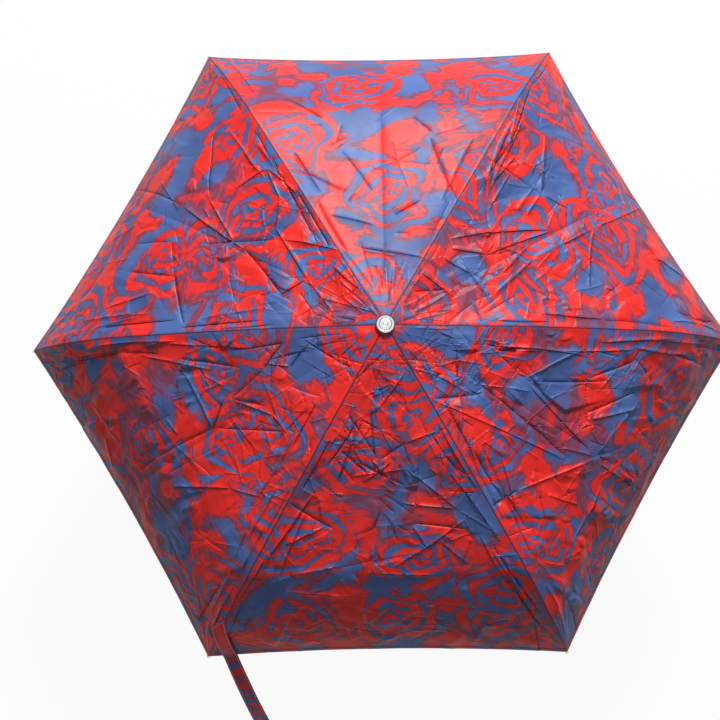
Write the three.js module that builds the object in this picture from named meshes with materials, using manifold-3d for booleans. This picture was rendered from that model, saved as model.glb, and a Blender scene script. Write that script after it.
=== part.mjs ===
// A six-rib, three-fold umbrella, open and with its shaft drawn out.
// Millimetres, +Z up the shaft, origin at the middle of the handle's flat end.

import * as THREE from 'three';
import { mergeVertices } from 'three/addons/utils/BufferGeometryUtils.js';
import Module from 'manifold-3d';

const wasm = await Module();
wasm.setup();

// Driving sizes

const ribCount = 6;
const gap = 0.3; // between pieces that touch
const cut = 2; // how far a cutting solid runs past the wall it cuts
const mergeDistance = 1e-4; // corners closer than this are one
const roundSides = 24; // sides of a turned piece
const pinSides = 10; // sides of a pin or an eye
const wireSides = 6;

// Shaft, from the handle up
const gripHeight = 62;
const gripRadius = 15;
const gripWaistRadius = 13.6;
const gripEdgeRadius = 2;
const waistStartShare = 1 / 3; // of the grip's height
const waistEndShare = 2 / 3;
const endCapHeight = 3;
const endCapRadius = 14.4;
const endCapSpigotRadius = 5;
const endCapSpigotHeight = 5;
const collarHeight = 4;
const collarRadius = 9;
const tubeSocketDepth = 48;
const tubeWall = 0.6;
const topTubeRadius = 4.8;
const topTubeBelowCrown = 168;
const middleTubeLength = 156;
const lowerTubeFreeLength = 157;
const tubeOverlap = 16; // of two tubes when the shaft is drawn out
const stopCollarRadius = 7.2;
const stopCollarHeight = 3.5;

// Crown
const crownPivotRadius = 11; // of the circle that the rib pivots lie on
const crownRadius = 12.6;
const crownTopHeight = 3.7; // above the rib pivots
const crownPlate = 1.5;
const crownDepth = 2.6; // flange below the rib pivots
const crownHubRadius = 7;
const crownHubDepth = 9;
const crownSlotWidth = 2.8;
const crownSlotDepthRadius = 8.9;
const pivotWireRadius = 0.5;
const capRingRadius = 11.75;
const capRingHeight = 1.7;
const capRadius = 10.5;
const capHeight = 2.6;
const capFlatRadius = 4.2;
const capGrooveDepth = 0.35;
const capSpigotLength = 12;

// Runner
const runnerPivotRadius = 7.3;
const runnerDropOpen = 50; // of its pivots below the crown's
const runnerFlangeRadius = 8.6;
const runnerFlangeHalf = 2.7;
const runnerNeck = 2.3; // sleeve above the flange
const runnerSleeveRadius = 6.6;
const runnerBelowPivot = 18;
const runnerSlotWidth = 3;
const runnerSlotWall = 0.75;
const runnerGripRadius = 8.4;
const runnerGripHeight = 4;
const buttonBossReach = 9.2;
const buttonBossWidth = 4.8;
const buttonBossHeight = 9;
const buttonWidth = 3.4;
const buttonHeight = 6;
const buttonProud = 1.4;
const buttonTravel = 1.2;
const buttonDrop = 9; // of its middle below the runner's pivots

// Ribs, along one rib from the crown outward. Angles are below the horizontal in degrees, umbrella open.
const innerRibLength = 162;
const innerRibAngle = 9;
const middleRibLength = 158;
const middleRibAngle = 16;
const outerRibLength = 165;
const outerRibStartAngle = 24;
const outerRibEndAngle = 56;
const stretcherPlace = 66; // of its pivot along the inner rib
const stretcherPinDrop = 0.6; // of that pivot below the rib's middle line
const innerKnuckleRise = 2.2; // pin above the inner rib's middle line
const outerKnuckleDrop = 2.4; // pin below the middle rib's middle line
const ribPinRadius = 0.6;
const eyeWall = 0.6;
const eyeClearance = 0.3;
const rootBladeWidth = 2;
const channelStart = 3.5; // from the pin to where a rib's channel begins

const innerChannel = { halfWidth: 2.2, wall: 0.6, above: 1.6, below: 2 };
const middleChannel = { halfWidth: 1.3, wall: 0.5, above: 1.2, below: 1.4 };
const channelEndGap = 3.2; // from a channel's end to the next pin
const channelBlock = 2; // solid length at a channel's root
const earLength = 8;
const innerEarRadius = 1.6;
const middleEarRadius = 1.5;
const middleBladeWidth = 2.4;
const outerBladeWidth = 1;
const stretcherWidth = 2.2;
const stretcherHalfDepth = 1;
const stretcherEndRadius = 1.2;
const outerRodRadius = 1.1;
const outerRodSides = 8;
const outerRodSteps = 12;
const tipRadius = 2.1;
const tipLength = 11;
const tipRodDepth = 6;
const tipBallRadius = 2.6;
const tipBallSteps = 5;

// Canopy
const clothThickness = 0.8;
const clothHoleRadius = 6.5;
const clothRise = 4.5; // of its underside above the ribs' middle lines
const clothRiseAtTip = 2.6;
const clothSeamGap = 0.4; // between two gores on a rib
const clothTipGap = 1.5; // from the end of the cloth to the end of the rod
const panelSag = 5; // of a gore's middle under the straight line between two ribs
const creaseDepth = 2.5; // of the fold down a gore's middle
const creaseReachShare = 1 / 3; // of the way from a gore's middle to its edges
const rimBow = 7; // of the rim inward, half way between two tips
const straightSteps = 4;
const arcSteps = 7;
const acrossSteps = 12;

// Strap
const strapRib = 4;
const strapWidth = 18;
const strapThickness = 1.2;
const strapStartShare = 0.792; // of the way down the ridge line, where the strap begins
const strapStartSide = -6.8; // of its middle there, from the rib towards the gore that it lies on
const strapStartSkewShare = 0.65; // how much its first edge slants, to lie along the seam
const strapRimShare = 0.0626; // of the rim between two tips, where the strap crosses it
const strapHangLength = 190;
const strapHangStartAngle = 27.7;
const strapHangEndAngle = 71.8;
const strapHeadingAngle = 290.8; // about the shaft, anticlockwise from +X
const strapLift = 0.9; // above the cloth, whose slope bends under it
const strapSteps = 16;
const strapOnClothSteps = 6;
const snapRadius = 5.5;
const snapHeight = 2.2;
const snapEndDistance = 12;
const studPlaceShare = 0.5; // along the strap

// Places that follow from those sizes

const degrees = Math.PI / 180;
const crownPivotHeight = gripHeight + collarHeight + lowerTubeFreeLength - tubeOverlap
  + middleTubeLength - tubeOverlap + topTubeBelowCrown;
const topTubeBore = topTubeRadius - tubeWall;
const middleTubeRadius = topTubeBore - gap;
const middleTubeBore = middleTubeRadius - tubeWall;
const lowerTubeRadius = middleTubeBore - gap;
const lowerTubeBore = lowerTubeRadius - tubeWall;
const clothUnderCap = crownPivotHeight + (crownPivotRadius - clothHoleRadius) * Math.tan(innerRibAngle * degrees)
  + clothRise / Math.cos(innerRibAngle * degrees);
const capRingBottom = clothUnderCap + clothThickness + gap;
const tubeTop = capRingBottom + capRingHeight;

// Turned and boxed solids

function bare(geometry) {
  const copy = geometry.index ? geometry.toNonIndexed() : geometry.clone();
  copy.deleteAttribute('normal');
  copy.deleteAttribute('uv');
  return mergeVertices(copy, mergeDistance);
}

function toSolid(geometry) {
  const merged = bare(geometry);
  return new wasm.Manifold(new wasm.Mesh({
    numProp: 3,
    vertProperties: new Float32Array(merged.attributes.position.array),
    triVerts: new Uint32Array(merged.index.array),
  }));
}

function fromSolid(solid) {
  const mesh = solid.getMesh();
  const geometry = new THREE.BufferGeometry();
  geometry.setAttribute('position', new THREE.BufferAttribute(new Float32Array(mesh.vertProperties), 3));
  geometry.setIndex(new THREE.BufferAttribute(new Uint32Array(mesh.triVerts), 1));
  return geometry;
}

function join(...geometries) {
  return fromSolid(geometries.map(toSolid).reduce((sum, solid) => sum.add(solid)));
}

function carve(geometry, ...cutters) {
  return fromSolid(cutters.map(toSolid).reduce((rest, solid) => rest.subtract(solid), toSolid(geometry)));
}

function turned(points, sides = roundSides) {
  const geometry = new THREE.LatheGeometry(points.map(([r, z]) => new THREE.Vector2(r, z)), sides);
  return bare(geometry.rotateX(Math.PI / 2));
}

function ring(innerRadius, outerRadius, bottom, top) {
  return turned([[innerRadius, bottom], [outerRadius, bottom], [outerRadius, top], [innerRadius, top],
    [innerRadius, bottom]]);
}

function disc(radius, bottom, top) {
  return turned([[0, bottom], [radius, bottom], [radius, top], [0, top]]);
}

function block(x, y, z) {
  const geometry = new THREE.BoxGeometry(x[1] - x[0], y[1] - y[0], z[1] - z[0]);
  return geometry.translate((x[0] + x[1]) / 2, (y[0] + y[1]) / 2, (z[0] + z[1]) / 2);
}

// Pieces in a rib's own plane: x along the rib, z up, and the width runs both ways along y

function plate(outline, width) {
  const shape = new THREE.Shape(outline.map(([x, z]) => new THREE.Vector2(x, z)));
  const geometry = new THREE.ExtrudeGeometry(shape, { depth: width, bevelEnabled: false });
  return geometry.rotateX(Math.PI / 2).translate(0, width / 2, 0);
}

function pin(x, z, radius, width) {
  return new THREE.CylinderGeometry(radius, radius, width, pinSides).translate(x, 0, z);
}

function aroundShaft(geometry) {
  return Array.from({ length: ribCount }, (_, i) => geometry.clone().rotateZ(i * 2 * Math.PI / ribCount));
}

// A U channel that is open below, with a solid block at its root and two ears at its end
function channel(size, length, middle, pinHeight, earRadius) {
  const low = middle - size.below;
  const high = middle + size.above;
  const inside = size.halfWidth - size.wall;
  const end = length - channelEndGap;
  const ears = plate([[length - earLength, low], [length, Math.min(low, pinHeight)],
    [length, Math.max(high, pinHeight)], [length - earLength, high]], 2 * size.halfWidth);
  const body = join(
    block([channelStart, end], [-size.halfWidth, size.halfWidth], [low, high]),
    ears,
    pin(length, pinHeight, earRadius, 2 * size.halfWidth),
  );
  return carve(
    body,
    block([channelStart + channelBlock, end], [-inside, inside], [low - cut, high - size.wall]),
    block([end, length + earLength], [-inside, inside], [low - earLength, high + earLength]),
  );
}

function innerRib() {
  const eyeRadius = pivotWireRadius + eyeClearance + eyeWall;
  const size = innerChannel;
  const root = join(
    pin(0, 0, eyeRadius, rootBladeWidth),
    block([0, channelStart + channelBlock / 2], [-rootBladeWidth / 2, rootBladeWidth / 2], [-eyeRadius, eyeRadius]),
  );
  return carve(
    join(
      root,
      channel(size, innerRibLength, 0, innerKnuckleRise, innerEarRadius),
      pin(stretcherPlace, -stretcherPinDrop, ribPinRadius, 2 * size.halfWidth - size.wall),
      pin(innerRibLength, innerKnuckleRise, ribPinRadius, 2 * size.halfWidth - size.wall),
    ),
    pin(0, 0, pivotWireRadius + eyeClearance, rootBladeWidth + cut),
  );
}

function middleRib() {
  const middle = -innerKnuckleRise;
  const eyeRadius = ribPinRadius + eyeClearance + eyeWall;
  const size = middleChannel;
  const neck = plate([[0, -eyeRadius], [channelStart + channelBlock, middle - size.below],
    [channelStart + channelBlock, middle + size.above], [0, eyeRadius]], middleBladeWidth);
  const pinHeight = middle - outerKnuckleDrop;
  return carve(
    join(
      pin(0, 0, eyeRadius, middleBladeWidth),
      neck,
      channel(size, middleRibLength, middle, pinHeight, middleEarRadius),
      pin(middleRibLength, pinHeight, ribPinRadius, 2 * size.halfWidth - size.wall),
    ),
    pin(0, 0, ribPinRadius + eyeClearance, middleBladeWidth + cut),
  );
}

// The outer rib is a rod bent to one arc. These are places on its middle line, from its knuckle pin
const outerTurn = (outerRibEndAngle - outerRibStartAngle) * degrees;
const outerBendRadius = outerRibLength / outerTurn;

function outerPlace(share, rise = 0) {
  const angle = share * outerTurn;
  return [
    channelStart + (outerBendRadius + rise) * Math.sin(angle),
    outerKnuckleDrop + (outerBendRadius + rise) * Math.cos(angle) - outerBendRadius,
  ];
}

class RodArc extends THREE.Curve {
  getPoint(share, target = new THREE.Vector3()) {
    const [x, z] = outerPlace(share);
    return target.set(x, 0, z);
  }
}

function roundSection(radius, sides) {
  return new THREE.Shape(Array.from({ length: sides }, (_, i) => {
    const angle = i * 2 * Math.PI / sides;
    return new THREE.Vector2(radius * Math.cos(angle), radius * Math.sin(angle));
  }));
}

function outerRib() {
  const eyeRadius = ribPinRadius + eyeClearance + eyeWall / 2;
  const rod = new THREE.ExtrudeGeometry(roundSection(outerRodRadius, outerRodSides), {
    steps: outerRodSteps, bevelEnabled: false, extrudePath: new RodArc(),
  });
  const neckEnd = channelStart + channelBlock;
  const neck = plate([[0, -eyeRadius], [neckEnd, outerKnuckleDrop - outerRodRadius / 2],
    [neckEnd, outerKnuckleDrop + outerRodRadius / 2], [channelStart - channelBlock / 2, outerKnuckleDrop],
    [0, eyeRadius]], outerBladeWidth);
  return carve(
    join(rod, neck, pin(0, 0, eyeRadius, outerBladeWidth)),
    pin(0, 0, ribPinRadius + eyeClearance, outerBladeWidth + cut),
  );
}

function ribTip() {
  const bore = outerRodRadius + gap;
  const ballCentre = tipLength - tipBallRadius;
  const profile = [[0, tipRodDepth + gap], [bore, tipRodDepth + gap], [bore, 0], [tipRadius, 0],
    [tipRadius, ballCentre - tipBallRadius / 2]];
  for (let i = 1; i < tipBallSteps; i += 1) {
    const turn = Math.PI * (1 - (i + 1) / (tipBallSteps + 1));
    profile.push([tipBallRadius * Math.sin(turn), ballCentre + tipBallRadius * Math.cos(turn)]);
  }
  profile.push([0, ballCentre + tipBallRadius]);
  return turned(profile, pinSides);
}

// Stretcher, from its pivot on the inner rib to the runner

const openPivot = new THREE.Vector2(crownPivotRadius, 0);
const stretcherPin = new THREE.Vector2(stretcherPlace, -stretcherPinDrop)
  .rotateAround(new THREE.Vector2(), -innerRibAngle * degrees).add(openPivot);
const stretcherReach = new THREE.Vector2(runnerPivotRadius, -runnerDropOpen).sub(stretcherPin);
const stretcherLength = stretcherReach.length();
const stretcherAngle = stretcherReach.angle();

function stretcher() {
  const eyeRadius = ribPinRadius + eyeClearance + eyeWall / 2;
  return carve(
    join(
      pin(0, 0, eyeRadius, stretcherWidth),
      block([0, stretcherLength], [-stretcherWidth / 2, stretcherWidth / 2],
        [-stretcherHalfDepth, stretcherHalfDepth]),
      pin(stretcherLength, 0, stretcherEndRadius, stretcherWidth),
    ),
    pin(0, 0, ribPinRadius + eyeClearance, stretcherWidth + cut),
  );
}

// Cloth: the ridge line over one rib, as distance from the shaft and height above the rib pivots

const innerKnuckle = new THREE.Vector2(innerRibLength, innerKnuckleRise)
  .rotateAround(new THREE.Vector2(), -innerRibAngle * degrees).add(openPivot);
const outerKnuckle = new THREE.Vector2(middleRibLength, -innerKnuckleRise - outerKnuckleDrop)
  .rotateAround(new THREE.Vector2(), -middleRibAngle * degrees).add(innerKnuckle);

function onInner(x, rise) {
  return new THREE.Vector2(x, rise).rotateAround(new THREE.Vector2(), -innerRibAngle * degrees).add(openPivot);
}

function onMiddle(x, rise) {
  return new THREE.Vector2(x, rise - innerKnuckleRise)
    .rotateAround(new THREE.Vector2(), -middleRibAngle * degrees).add(innerKnuckle);
}

function onOuter(share, rise) {
  return new THREE.Vector2(...outerPlace(share, rise))
    .rotateAround(new THREE.Vector2(), -outerRibStartAngle * degrees).add(outerKnuckle);
}

function ridgeLine() {
  const points = [];
  const innerStart = (clothHoleRadius - crownPivotRadius) / Math.cos(innerRibAngle * degrees)
    + clothRise * Math.tan(innerRibAngle * degrees);
  for (let i = 0; i < straightSteps; i += 1) {
    points.push(onInner(innerStart + (innerRibLength - innerStart) * i / straightSteps, clothRise));
  }
  for (let i = 0; i < straightSteps; i += 1) {
    points.push(onMiddle(middleRibLength * i / straightSteps, clothRise));
  }
  const clothEndShare = 1 - clothTipGap / outerRibLength;
  for (let i = 0; i <= arcSteps; i += 1) {
    const share = i / arcSteps;
    points.push(onOuter(share * clothEndShare, clothRise + (clothRiseAtTip - clothRise) * share));
  }
  return points;
}

const ridge = ridgeLine();

// A place on the cloth's underside: station 0 is at the crown and the last one at the rim, and across runs
// from 0 on one rib to 1 on the next
function clothPlace(station, across, edgeGap = 0) {
  const low = Math.min(Math.floor(station), ridge.length - 2);
  const point = ridge[low].clone().lerp(ridge[low + 1], station - low);
  const span = 2 * Math.PI / ribCount;
  const chord = 2 * point.x * Math.sin(span / 2);
  const inset = edgeGap / 2 / chord;
  const share = inset + across * (1 - 2 * inset);
  const reach = station / (ridge.length - 1);
  const belly = 4 * share * (1 - share);
  const crease = Math.max(0, 1 - Math.abs(2 * share - 1) / creaseReachShare);
  const inward = rimBow * belly * reach ** 3;
  const first = new THREE.Vector2(point.x, 0);
  const second = first.clone().rotateAround(new THREE.Vector2(), span);
  const place = first.lerp(second, share);
  place.sub(new THREE.Vector2(Math.cos(span / 2), Math.sin(span / 2)).multiplyScalar(inward));
  const drop = (panelSag * belly + creaseDepth * crease) * Math.sin(Math.PI * reach);
  return new THREE.Vector3(place.x, place.y, point.y - drop);
}

function sheet(rows, columns, placeOf) {
  const corners = [];
  for (let side = 0; side < 2; side += 1) {
    for (let i = 0; i <= rows; i += 1) {
      for (let j = 0; j <= columns; j += 1) {
        corners.push(...placeOf(i, j, side).toArray());
      }
    }
  }
  const layer = (rows + 1) * (columns + 1);
  const at = (i, j, side) => side * layer + i * (columns + 1) + j;
  const faces = [];
  const quad = (a, b, c, d) => faces.push(a, b, c, a, c, d);
  for (let i = 0; i < rows; i += 1) {
    for (let j = 0; j < columns; j += 1) {
      quad(at(i, j, 1), at(i + 1, j, 1), at(i + 1, j + 1, 1), at(i, j + 1, 1));
      quad(at(i, j, 0), at(i, j + 1, 0), at(i + 1, j + 1, 0), at(i + 1, j, 0));
    }
    quad(at(i, 0, 0), at(i + 1, 0, 0), at(i + 1, 0, 1), at(i, 0, 1));
    quad(at(i, columns, 1), at(i + 1, columns, 1), at(i + 1, columns, 0), at(i, columns, 0));
  }
  for (let j = 0; j < columns; j += 1) {
    quad(at(0, j, 1), at(0, j + 1, 1), at(0, j + 1, 0), at(0, j, 0));
    quad(at(rows, j, 0), at(rows, j + 1, 0), at(rows, j + 1, 1), at(rows, j, 1));
  }
  const geometry = new THREE.BufferGeometry();
  geometry.setAttribute('position', new THREE.Float32BufferAttribute(corners, 3));
  geometry.setIndex(faces);
  return geometry;
}

function gore() {
  return sheet(ridge.length - 1, acrossSteps, (i, j, side) => {
    const place = clothPlace(i, j / acrossSteps, clothSeamGap);
    place.z += side * clothThickness;
    return place;
  });
}

// Strap: over the cloth from beside the seam to the rim, then out and down in one arc

const strapTurn = strapRib * 2 * Math.PI / ribCount;
const upward = new THREE.Vector3(0, 0, 1);

function clothNormal(station, across) {
  const step = 1 / acrossSteps;
  const here = clothPlace(station, across);
  const outward = clothPlace(station - step, across).sub(here).negate();
  const sideways = clothPlace(station, across + step).sub(here);
  return outward.cross(sideways).normalize().applyAxisAngle(upward, strapTurn);
}

// Each row of the strap has its middle and the direction that its upper face looks in
function strapRows() {
  const last = ridge.length - 1;
  const startStation = strapStartShare * last;
  const startReach = clothPlace(startStation, 0);
  const startAcross = strapStartSide / startReach.distanceTo(clothPlace(startStation, 1));
  const rows = [];
  for (let i = 0; i <= strapOnClothSteps; i += 1) {
    const share = i / strapOnClothSteps;
    const station = startStation + (last - startStation) * share;
    const across = startAcross + (strapRimShare - startAcross) * share;
    const out = clothNormal(station, across);
    const middle = clothPlace(station, across).applyAxisAngle(upward, strapTurn)
      .addScaledVector(upward, clothThickness).addScaledVector(out, strapLift + strapThickness / 2);
    rows.push({ middle, out });
  }
  const rimOut = rows[rows.length - 1].out;
  const heading = new THREE.Vector3(1, 0, 0).applyAxisAngle(upward, strapHeadingAngle * degrees);
  const step = strapHangLength / strapSteps;
  for (let i = 0; i < strapSteps; i += 1) {
    const share = (i + 1 / 2) / strapSteps;
    const angle = (strapHangStartAngle + (strapHangEndAngle - strapHangStartAngle) * share) * degrees;
    const along = heading.clone().multiplyScalar(Math.cos(angle)).addScaledVector(upward, -Math.sin(angle));
    const hangOut = heading.clone().multiplyScalar(Math.sin(angle)).addScaledVector(upward, Math.cos(angle));
    const out = rimOut.clone().lerp(hangOut, Math.min(1, 2 * share)).normalize();
    rows.push({ middle: rows[rows.length - 1].middle.clone().addScaledVector(along, step), out });
  }
  return rows;
}

const strapLine = strapRows();

function strapFrame(i) {
  const before = strapLine[Math.max(i - 1, 0)].middle;
  const after = strapLine[Math.min(i + 1, strapLine.length - 1)].middle;
  const along = after.clone().sub(before).normalize();
  const side = along.clone().cross(strapLine[i].out).normalize();
  return { along, side, out: side.clone().cross(along) };
}

function strap() {
  return sheet(strapLine.length - 1, 1, (i, j, side) => {
    const frame = strapFrame(i);
    const sideways = (1 / 2 - j) * strapWidth;
    const skew = strapStartSkewShare * Math.max(0, 1 - i / strapOnClothSteps);
    return strapLine[i].middle.clone()
      .addScaledVector(frame.side, sideways)
      .addScaledVector(frame.along, sideways * skew)
      .addScaledVector(frame.out, (side - 1 / 2) * strapThickness);
  });
}

// A snap half lies on the strap's upper or under face
function snapOnStrap(geometry, index, face) {
  const frame = strapFrame(index);
  const out = frame.out.clone().multiplyScalar(face);
  const across = out.clone().cross(frame.along);
  const matrix = new THREE.Matrix4().makeBasis(frame.along, across, out);
  matrix.setPosition(strapLine[index].middle.clone().addScaledVector(out, strapThickness / 2 + 2 * gap));
  return geometry.applyMatrix4(matrix);
}

// Materials

const black = new THREE.MeshStandardMaterial({ color: 0x1c1c1e, roughness: 0.55 });
const grip = new THREE.MeshStandardMaterial({ color: 0x232326, roughness: 0.8 });
const steel = new THREE.MeshStandardMaterial({ color: 0xa9abad, roughness: 0.35, metalness: 1 });
const silver = new THREE.MeshStandardMaterial({ color: 0xcdd3d3, roughness: 0.2, metalness: 1 });
const cloth = new THREE.MeshStandardMaterial({ color: 0x96404e, roughness: 0.6 });

// Assembly

const umbrella = new THREE.Group();

function add(name, geometry, material, parent = umbrella) {
  const mesh = new THREE.Mesh(geometry, material);
  mesh.name = name;
  parent.add(mesh);
  return mesh;
}

function handle() {
  const boreRadius = lowerTubeRadius + gap;
  const boreBottom = gripHeight - tubeSocketDepth - gap;
  const spigotBore = endCapSpigotRadius + gap;
  const bottom = endCapHeight + gap;
  add('handle_grip', turned([
    [0, bottom + endCapSpigotHeight + gap], [spigotBore, bottom + endCapSpigotHeight + gap], [spigotBore, bottom],
    [gripRadius - gripEdgeRadius, bottom], [gripRadius, bottom + gripEdgeRadius],
    [gripWaistRadius, bottom + (gripHeight - bottom) * waistStartShare],
    [gripWaistRadius, bottom + (gripHeight - bottom) * waistEndShare],
    [gripRadius, gripHeight - 2 * gripEdgeRadius], [gripRadius - gripEdgeRadius, gripHeight],
    [boreRadius, gripHeight], [boreRadius, boreBottom], [0, boreBottom],
  ]), grip);
  add('handle_end_cap', turned([
    [0, 0], [endCapRadius - gripEdgeRadius / 2, 0], [endCapRadius, gripEdgeRadius / 2], [endCapRadius, endCapHeight],
    [endCapSpigotRadius, endCapHeight], [endCapSpigotRadius, bottom + endCapSpigotHeight],
    [0, bottom + endCapSpigotHeight],
  ]), black);
  add('handle_collar', ring(boreRadius, collarRadius, gripHeight + gap, gripHeight + collarHeight - gap), silver);
}

function shaft() {
  const lowerTop = gripHeight + collarHeight + lowerTubeFreeLength;
  const middleBottom = lowerTop - tubeOverlap;
  const topBottom = crownPivotHeight - topTubeBelowCrown;
  add('lower_tube', ring(lowerTubeBore, lowerTubeRadius, gripHeight - tubeSocketDepth, lowerTop), steel);
  add('middle_tube', ring(middleTubeBore, middleTubeRadius, middleBottom, middleBottom + middleTubeLength), steel);
  add('top_tube', ring(topTubeBore, topTubeRadius, topBottom, tubeTop), steel);
  add('runner_stop_collar', ring(topTubeRadius + gap, stopCollarRadius, topBottom, topBottom + stopCollarHeight), black);
}

function crown() {
  const z = crownPivotHeight;
  const bore = topTubeRadius + gap;
  const body = turned([
    [bore, z - crownHubDepth], [crownHubRadius, z - crownHubDepth], [crownHubRadius, z - crownDepth],
    [crownRadius, z - crownDepth], [crownRadius, z + crownTopHeight], [bore, z + crownTopHeight],
    [bore, z - crownHubDepth],
  ]);
  const slot = block([crownSlotDepthRadius, crownRadius + cut], [-crownSlotWidth / 2, crownSlotWidth / 2],
    [z - crownDepth - cut, z + crownTopHeight - crownPlate]);
  const groove = new THREE.TorusGeometry(crownPivotRadius, pivotWireRadius + gap, wireSides, 2 * roundSides)
    .translate(0, 0, z);
  add('crown_notch', carve(body, ...aroundShaft(slot), groove), black);
  add('crown_pivot_wire', new THREE.TorusGeometry(crownPivotRadius, pivotWireRadius, wireSides, 2 * roundSides)
    .translate(0, 0, z), steel);
  add('cap_ring', ring(bore, capRingRadius, capRingBottom, tubeTop), black);
  const capBottom = tubeTop + gap;
  const spigotRadius = topTubeBore - gap;
  const capTop = capBottom + capHeight;
  add('silver_cap', turned([
    [0, capBottom - capSpigotLength], [spigotRadius, capBottom - capSpigotLength], [spigotRadius, capBottom],
    [capRadius, capBottom], [capRadius, capBottom + capHeight / 2], [capRadius - capHeight / 3, capTop - capGrooveDepth],
    [(capRadius + capFlatRadius) / 2, capTop - capGrooveDepth], [capFlatRadius, capTop], [0, capTop],
  ]), silver);
}

function runner() {
  const z = crownPivotHeight - runnerDropOpen;
  const bore = topTubeRadius + gap;
  const low = z - runnerBelowPivot;
  const body = turned([
    [bore, low], [runnerGripRadius, low], [runnerGripRadius, low + runnerGripHeight],
    [runnerSleeveRadius, low + runnerGripHeight], [runnerSleeveRadius, z - runnerFlangeHalf],
    [runnerFlangeRadius, z - runnerFlangeHalf], [runnerFlangeRadius, z + runnerFlangeHalf],
    [runnerSleeveRadius, z + runnerFlangeHalf], [runnerSleeveRadius, z + runnerFlangeHalf + runnerNeck],
    [bore, z + runnerFlangeHalf + runnerNeck], [bore, low],
  ]);
  const slot = block([bore + runnerSlotWall, runnerFlangeRadius + cut], [-runnerSlotWidth / 2, runnerSlotWidth / 2],
    [z - runnerFlangeHalf - cut / 2, z + runnerFlangeHalf + runnerNeck + cut]);
  const buttonZ = z - buttonDrop;
  const boss = block([-buttonBossWidth / 2, buttonBossWidth / 2], [-buttonBossReach, -runnerSleeveRadius + tubeWall],
    [buttonZ - buttonBossHeight / 2, buttonZ + buttonBossHeight / 2]);
  const buttonInner = bore + tubeWall + gap + buttonTravel;
  const pocket = block([-buttonWidth / 2 - gap, buttonWidth / 2 + gap],
    [-buttonBossReach - cut, -bore - tubeWall],
    [buttonZ - buttonHeight / 2 - gap, buttonZ + buttonHeight / 2 + gap]);
  const shaftHole = disc(bore, low - cut, z + runnerFlangeHalf + runnerNeck + cut);
  add('runner', carve(join(body, boss), ...aroundShaft(slot), pocket, shaftHole), black);
  add('runner_button', block([-buttonWidth / 2, buttonWidth / 2], [-buttonBossReach - buttonProud, -buttonInner],
    [buttonZ - buttonHeight / 2, buttonZ + buttonHeight / 2]), silver);
}

function turnInPlane(group, place, angle) {
  group.position.set(place.x, 0, crownPivotHeight + place.y);
  group.rotation.y = angle * degrees;
  return group;
}

function ribSet(i) {
  const set = new THREE.Group();
  set.rotation.z = i * 2 * Math.PI / ribCount;
  umbrella.add(set);
  const inner = turnInPlane(new THREE.Group(), openPivot, innerRibAngle);
  const middle = turnInPlane(new THREE.Group(), innerKnuckle, middleRibAngle);
  const outer = turnInPlane(new THREE.Group(), outerKnuckle, outerRibStartAngle);
  const strut = turnInPlane(new THREE.Group(), stretcherPin, -stretcherAngle / degrees);
  set.add(inner, middle, outer, strut);
  add(`inner_rib_${i + 1}`, innerRib(), steel, inner);
  add(`stretcher_${i + 1}`, stretcher(), steel, strut);
  add(`middle_rib_${i + 1}`, middleRib(), steel, middle);
  add(`outer_rib_${i + 1}`, outerRib(), steel, outer);
  const [x, z] = outerPlace(1);
  const tip = add(`rib_tip_${i + 1}`, ribTip().rotateY(Math.PI / 2), silver, outer);
  tip.rotation.y = outerTurn;
  tip.position.set(x - tipRodDepth * Math.cos(outerTurn), 0, z + tipRodDepth * Math.sin(outerTurn));
}

handle();
shaft();
crown();
runner();
for (let i = 0; i < ribCount; i += 1) {
  ribSet(i);
}
for (let i = 0; i < ribCount; i += 1) {
  const panel = add(`canopy_gore_${i + 1}`, gore(), cloth);
  panel.rotation.z = i * 2 * Math.PI / ribCount;
  panel.position.z = crownPivotHeight;
}
add('closure_strap', strap(), cloth).position.z = crownPivotHeight;
const snapIndex = strapLine.length - 1 - Math.round(snapEndDistance / (strapHangLength / strapSteps));
add('snap_socket', snapOnStrap(disc(snapRadius, 0, snapHeight), snapIndex, 1), silver).position.z = crownPivotHeight;
add('snap_stud', snapOnStrap(disc(snapRadius, 0, snapHeight),
  Math.round(studPlaceShare * strapLine.length), -1), silver).position.z = crownPivotHeight;

export default umbrella;
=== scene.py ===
# %% [markdown]
# # A folding umbrella, seen from above
#
# The umbrella is six panels of printed cloth on six folding ribs. Its frame, from the handle to the
# rib tips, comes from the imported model, and this lesson dresses it: cloth, print, creases, thread,
# metal and plastic. All lengths are in metres.

# %% Load the frame
import math
from functools import partialmethod

import bpy
import numpy as np
from mathutils import Matrix, Vector


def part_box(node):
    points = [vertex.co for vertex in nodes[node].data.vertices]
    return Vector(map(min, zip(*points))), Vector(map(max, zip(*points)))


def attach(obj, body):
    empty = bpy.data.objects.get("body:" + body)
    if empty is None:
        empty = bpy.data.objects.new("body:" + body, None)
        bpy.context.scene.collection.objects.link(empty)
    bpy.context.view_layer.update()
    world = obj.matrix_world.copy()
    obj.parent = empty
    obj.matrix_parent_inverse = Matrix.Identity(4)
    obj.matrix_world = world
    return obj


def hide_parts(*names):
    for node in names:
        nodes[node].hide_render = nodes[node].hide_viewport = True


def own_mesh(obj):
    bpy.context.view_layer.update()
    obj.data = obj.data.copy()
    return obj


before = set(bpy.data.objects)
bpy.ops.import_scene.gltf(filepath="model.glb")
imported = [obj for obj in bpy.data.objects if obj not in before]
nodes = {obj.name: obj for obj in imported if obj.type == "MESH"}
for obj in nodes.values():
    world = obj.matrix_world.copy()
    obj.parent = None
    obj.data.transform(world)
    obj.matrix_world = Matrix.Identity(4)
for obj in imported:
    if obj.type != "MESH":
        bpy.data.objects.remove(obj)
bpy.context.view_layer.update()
MM = 0.001
RIBS = 6
SECTOR = 2 * math.pi / RIBS

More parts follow.
